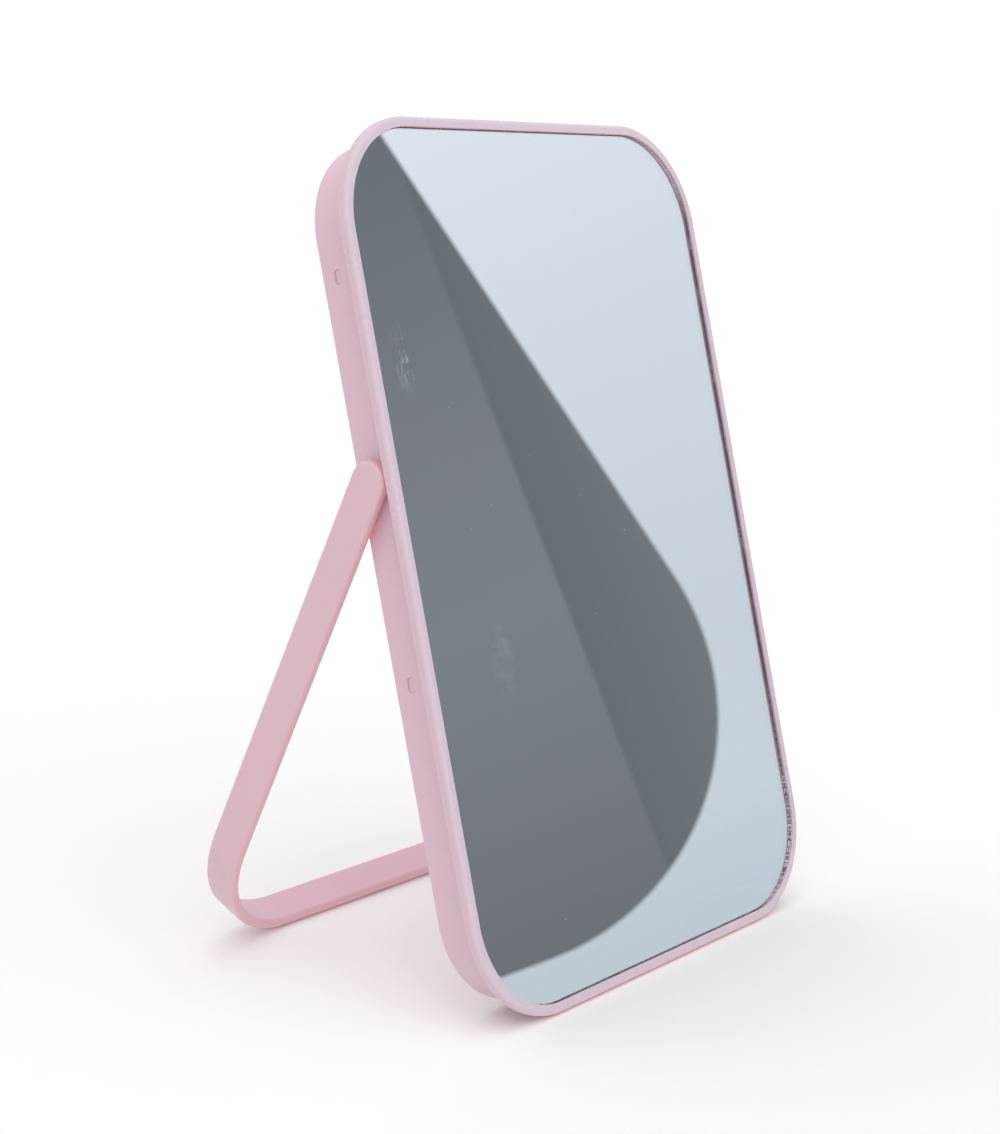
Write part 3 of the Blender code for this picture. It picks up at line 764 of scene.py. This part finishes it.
def silver():
    """Silver behind the pane, very slightly uneven, with specks where it has lifted."""
    n = Nodes("silver")
    specks = n.spread(n.cells(160), 0.024, 0.014)
    uneven = n.spread(n.noise(14, 3), 0.3, 0.7)
    n.colour(n.mix(specks, n.mix(uneven, (0.870, 0.885, 0.893), (0.862, 0.880, 0.890)), (0.95, 0.96, 0.97)))
    n.rough(n.maths("MULTIPLY", specks, 0.5))
    n.set(Metallic=1.0)
    return n.mat


def zinc_steel():
    """Zinc-plated steel: spangled tone, fine turning marks and brighter edges."""
    n = Nodes("zinc_steel")
    spangle = n.spread(n.cells(1800), 0.1, 0.6)
    tone = n.mix(spangle, (0.56, 0.58, 0.61), (0.70, 0.70, 0.68))
    n.colour(n.mix(n.edges(), tone, (0.82, 0.82, 0.80)))
    n.rough(n.spread(n.noise(1500, 3), 0.3, 0.7, 0.22, 0.42))
    n.normal(n.bump(n.noise(5000, 2, 0.5, (8, 1, 1)), 0.15, 0.00005))
    n.set(Metallic=1.0)
    return n.mat


def nylon():
    """Natural nylon: milky, slightly mottled, with a moulded grain."""
    n = Nodes("nylon")
    n.colour(n.mix(n.spread(n.noise(400, 3), 0.3, 0.7), (0.80, 0.78, 0.73), (0.72, 0.70, 0.66)))
    n.rough(n.spread(n.noise(900, 3), 0.3, 0.7, 0.42, 0.58))
    n.normal(n.bump(n.noise(6000, 2), 0.2, 0.00005))
    n.set(Subsurface_Weight=0.3, Subsurface_Radius=(1.0, 0.9, 0.8), Subsurface_Scale=0.001)
    return n.mat


def foam():
    """Closed-cell foam tape with its small bubbles."""
    n = Nodes("foam")
    cell = n.spread(n.cells(1700), 0.0, 0.5)
    n.colour(n.mix(cell, (0.52, 0.52, 0.50), (0.78, 0.78, 0.75)))
    n.rough(n.spread(n.noise(700, 3), 0.3, 0.7, 0.85, 1.0))
    n.normal(n.bump(cell, 0.6, 0.0003))
    return n.mat


# ---- studio -------------------------------------------------------------------------------------
def make_camera():
    """The camera, from where it stands and where it looks."""
    heading = math.radians(CAMERA_HEADING)
    pitch = math.radians(CAMERA_PITCH)
    forward = Vector((math.sin(heading) * math.cos(pitch), math.cos(heading) * math.cos(pitch),
                      math.sin(pitch)))
    right = forward.cross(Vector((0, 0, 1))).normalized()
    roll = Quaternion(forward, math.radians(CAMERA_ROLL))
    right.rotate(roll)
    up = right.cross(forward)
    data = bpy.data.cameras.new("camera")
    data.lens = CAMERA_LENS
    data.sensor_width = CAMERA_SENSOR
    data.clip_start = 0.01
    data.clip_end = 100.0
    camera = bpy.data.objects.new("camera", data)
    bpy.context.scene.collection.objects.link(camera)
    turn = Matrix((right, up, -forward)).transposed().to_4x4()
    camera.matrix_world = Matrix.Translation(CAMERA_AT) @ turn
    bpy.context.scene.camera = camera


def make_floor():
    """A plain white floor that isn't seen in the mirror or through the glass."""
    bm = bmesh.new()
    bmesh.ops.create_grid(bm, x_segments=1, y_segments=1, size=FLOOR_SIZE / 2)
    floor = to_object("floor", bm)
    n = Nodes("floor_white")
    n.set(Base_Color=(FLOOR_ALBEDO, FLOOR_ALBEDO, FLOOR_ALBEDO, 1.0), Roughness=0.9,
          Specular_IOR_Level=0.0)
    floor.data.materials.append(n.mat)
    floor.visible_glossy = False
    floor.visible_transmission = False


def make_card(mirror):
    """A grey drop-shaped card out of view, where the camera sees it in the mirror."""
    centre = mirror @ Vector((0, GLASS_RECESS * MM, 0))
    normal = (mirror.to_3x3() @ Vector((0, -1, 0))).normalized()
    ray = (centre - Vector(CAMERA_AT)).normalized()
    ray -= 2 * ray.dot(normal) * normal
    across = ray.cross(Vector((0, 0, 1))).normalized()
    up = across.cross(ray)
    x, z, radius = CARD_DISC
    edge = arc(x, z, radius, 180 - CARD_LEAN, 270, CORNER_STEPS)
    top = edge[0][0] + (CARD_TOP - edge[0][1]) * math.tan(math.radians(CARD_LEAN))
    outline = [(top, CARD_TOP)] + edge + [(CARD_SIDE, z - radius), (CARD_SIDE, CARD_TOP)]
    bm = bmesh.new()
    sheet = bm.faces.new([bm.verts.new((a, b, 0)) for a, b in outline])
    cover = bm.verts.layers.float.new("cover")
    bm.normal_update()
    bmesh.ops.inset_region(bm, faces=[sheet], thickness=CARD_SOFT, use_even_offset=True,
                           use_boundary=True)
    for vert in sheet.verts:
        vert[cover] = 1.0
    card = to_object("grey_card", bm)
    card.data.materials.append(card_material())
    turn = Matrix((across, up, -ray)).transposed().to_4x4()
    card.matrix_world = Matrix.Translation(centre + ray * CARD_DISTANCE) @ turn
    card.visible_camera = False
    card.visible_diffuse = False
    card.visible_shadow = False


def fill_ramp(node, tones):
    """Give a colour ramp its (place, tone) pairs, first and last included."""
    elements = node.color_ramp.elements
    for element, (position, tone) in zip(elements, (tones[0], tones[-1])):
        element.position = position
        element.color = (*tone, 1)
    for position, tone in tones[1:-1]:
        elements.new(position).color = (*tone, 1)


def card_material():
    """Two greys that meet along a fold, the wider one brightest at about half its height."""
    n = Nodes("grey_card")
    across = n.separate("X")
    height = n.add("ShaderNodeValToRGB")
    n.link(n.spread(n.separate("Y"), *CARD_SPAN), height.inputs["Fac"])
    fill_ramp(height, CARD_TONES)
    strip = n.mix(n.spread(across, CARD_STRIP_START, CARD_FOLD), *CARD_STRIP_TONES)
    fold = n.spread(across, CARD_FOLD - CARD_SOFT / 2, CARD_FOLD + CARD_SOFT / 2)
    n.link(n.mix(fold, strip, height.outputs["Color"]), n.shader.inputs["Emission Color"])
    n.link(n.add("ShaderNodeAttribute", attribute_name="cover").outputs["Fac"], n.shader.inputs["Alpha"])
    n.set(Base_Color=(0, 0, 0, 1), Emission_Strength=1.0, Specular_IOR_Level=0.0)
    return n.mat


def make_world():
    """Even pale surroundings; what the mirror sees of them fades from bright above to pale blue below."""
    world = bpy.data.worlds.new("studio")
    bpy.context.scene.world = world
    world.use_nodes = True
    tree = world.node_tree
    tree.nodes.clear()
    link = tree.links.new
    out = tree.nodes.new("ShaderNodeOutputWorld")
    coords = tree.nodes.new("ShaderNodeTexCoord")
    split = tree.nodes.new("ShaderNodeSeparateXYZ")
    ramp = tree.nodes.new("ShaderNodeValToRGB")
    path = tree.nodes.new("ShaderNodeLightPath")
    dull, seen, mirrored = (tree.nodes.new("ShaderNodeBackground") for _ in range(3))
    dull.inputs["Color"].default_value = (*DULL_TINT, 1.0)
    dull.inputs["Strength"].default_value = AMBIENT
    seen.inputs["Color"].default_value = (1.0, 1.0, 1.0, 1.0)
    seen.inputs["Strength"].default_value = FLOOR_ALBEDO * (AMBIENT + FRONT_SUN + TOP_SUN)
    fill_ramp(ramp, SKY_TONES)
    spread = tree.nodes.new("ShaderNodeMapRange")
    spread.inputs["From Min"].default_value = SKY_SPAN[0]
    spread.inputs["From Max"].default_value = SKY_SPAN[1]
    link(coords.outputs["Generated"], split.inputs[0])
    link(split.outputs["Z"], spread.inputs["Value"])
    link(spread.outputs["Result"], ramp.inputs["Fac"])
    link(ramp.outputs["Color"], mirrored.inputs["Color"])
    shader = dull.outputs[0]
    chosen = (("Is Camera Ray", seen), ("Is Glossy Ray", mirrored), ("Is Transmission Ray", mirrored))
    for ray, ground in chosen:
        choose = tree.nodes.new("ShaderNodeMixShader")
        link(path.outputs[ray], choose.inputs["Fac"])
        link(shader, choose.inputs[1])
        link(ground.outputs[0], choose.inputs[2])
        shader = choose.outputs[0]
    link(shader, out.inputs["Surface"])


def make_sun(name, strength, source):
    """One soft light, as even over the whole floor as on the part."""
    data = bpy.data.lights.new(name, "SUN")
    data.angle = math.radians(SUN_ANGLE)
    towards = Vector(source).normalized()
    data.energy = strength * math.pi / towards.z
    data.color = SUN_TINT
    light = bpy.data.objects.new(name, data)
    bpy.context.scene.collection.objects.link(light)
    light.rotation_mode = "QUATERNION"
    light.rotation_quaternion = (-towards).to_track_quat("-Z", "Y")
    light.visible_glossy = False
    light.visible_transmission = False


# ---- the scene ----------------------------------------------------------------------------------
def smooth_shaded(obj):
    """Smooth shading that keeps hard corners and lets large faces stay flat."""
    obj.data.shade_smooth()
    obj.data.set_sharp_from_angle(angle=math.radians(SHARP_DEG))
    weigh = obj.modifiers.new("even_shading", "WEIGHTED_NORMAL")
    weigh.keep_sharp = True


def put(obj, matrix, body, node, materials, smooth=True):
    """Finish a piece, place it, and let it stand in for one node of the part."""
    for mat in materials:
        obj.data.materials.append(mat)
    if smooth:
        smooth_shaded(obj)
    obj.data.transform(matrix)
    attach(obj, body)
    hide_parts(node)


def corners(bounds):
    return [list(corner) for corner in bounds]


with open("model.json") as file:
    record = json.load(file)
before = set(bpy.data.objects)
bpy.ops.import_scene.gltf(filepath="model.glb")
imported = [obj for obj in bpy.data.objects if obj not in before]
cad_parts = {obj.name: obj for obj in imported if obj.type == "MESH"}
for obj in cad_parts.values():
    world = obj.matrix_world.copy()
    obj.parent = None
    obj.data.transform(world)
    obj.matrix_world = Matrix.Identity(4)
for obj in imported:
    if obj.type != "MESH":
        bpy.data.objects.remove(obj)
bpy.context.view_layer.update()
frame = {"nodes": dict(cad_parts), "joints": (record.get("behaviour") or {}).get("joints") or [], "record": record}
bpy.context.scene.view_settings.view_transform = "Standard"
make_camera()
make_floor()
make_world()
make_sun("front_sun", FRONT_SUN, FRONT_SUN_FROM)
make_sun("top_sun", TOP_SUN, TOP_SUN_FROM)

place = placements(frame)
make_card(place["mirror"])
put(make_bezel(), place["mirror"], "mirror", "front_bezel",
    [pink_plastic("bezel_plastic", BODY_PINK, 0.24, lip_on=place["mirror"])])
put(make_shell(), place["mirror"], "mirror", "rear_shell",
    [pink_plastic("shell_plastic", BODY_PINK, 0.36)])
put(make_glass(), place["mirror"], "mirror", "mirror_glass",
    [sheet_glass(place["mirror"]), ground_edge(place["mirror"]), silver()], smooth=False)
put(make_stand(), place["stand"], "stand", "u_stand",
    [pink_plastic("stand_plastic", STAND_PINK, 0.34, strip_on=place["stand"])])

steel = zinc_steel()
inner_finishes = {"washer": steel, "screw": steel, "friction": nylon(), "foam": foam()}
for name, node in frame["nodes"].items():
    for word, finish in inner_finishes.items():
        if word in name:
            node.data.materials.clear()
            node.data.materials.append(finish)
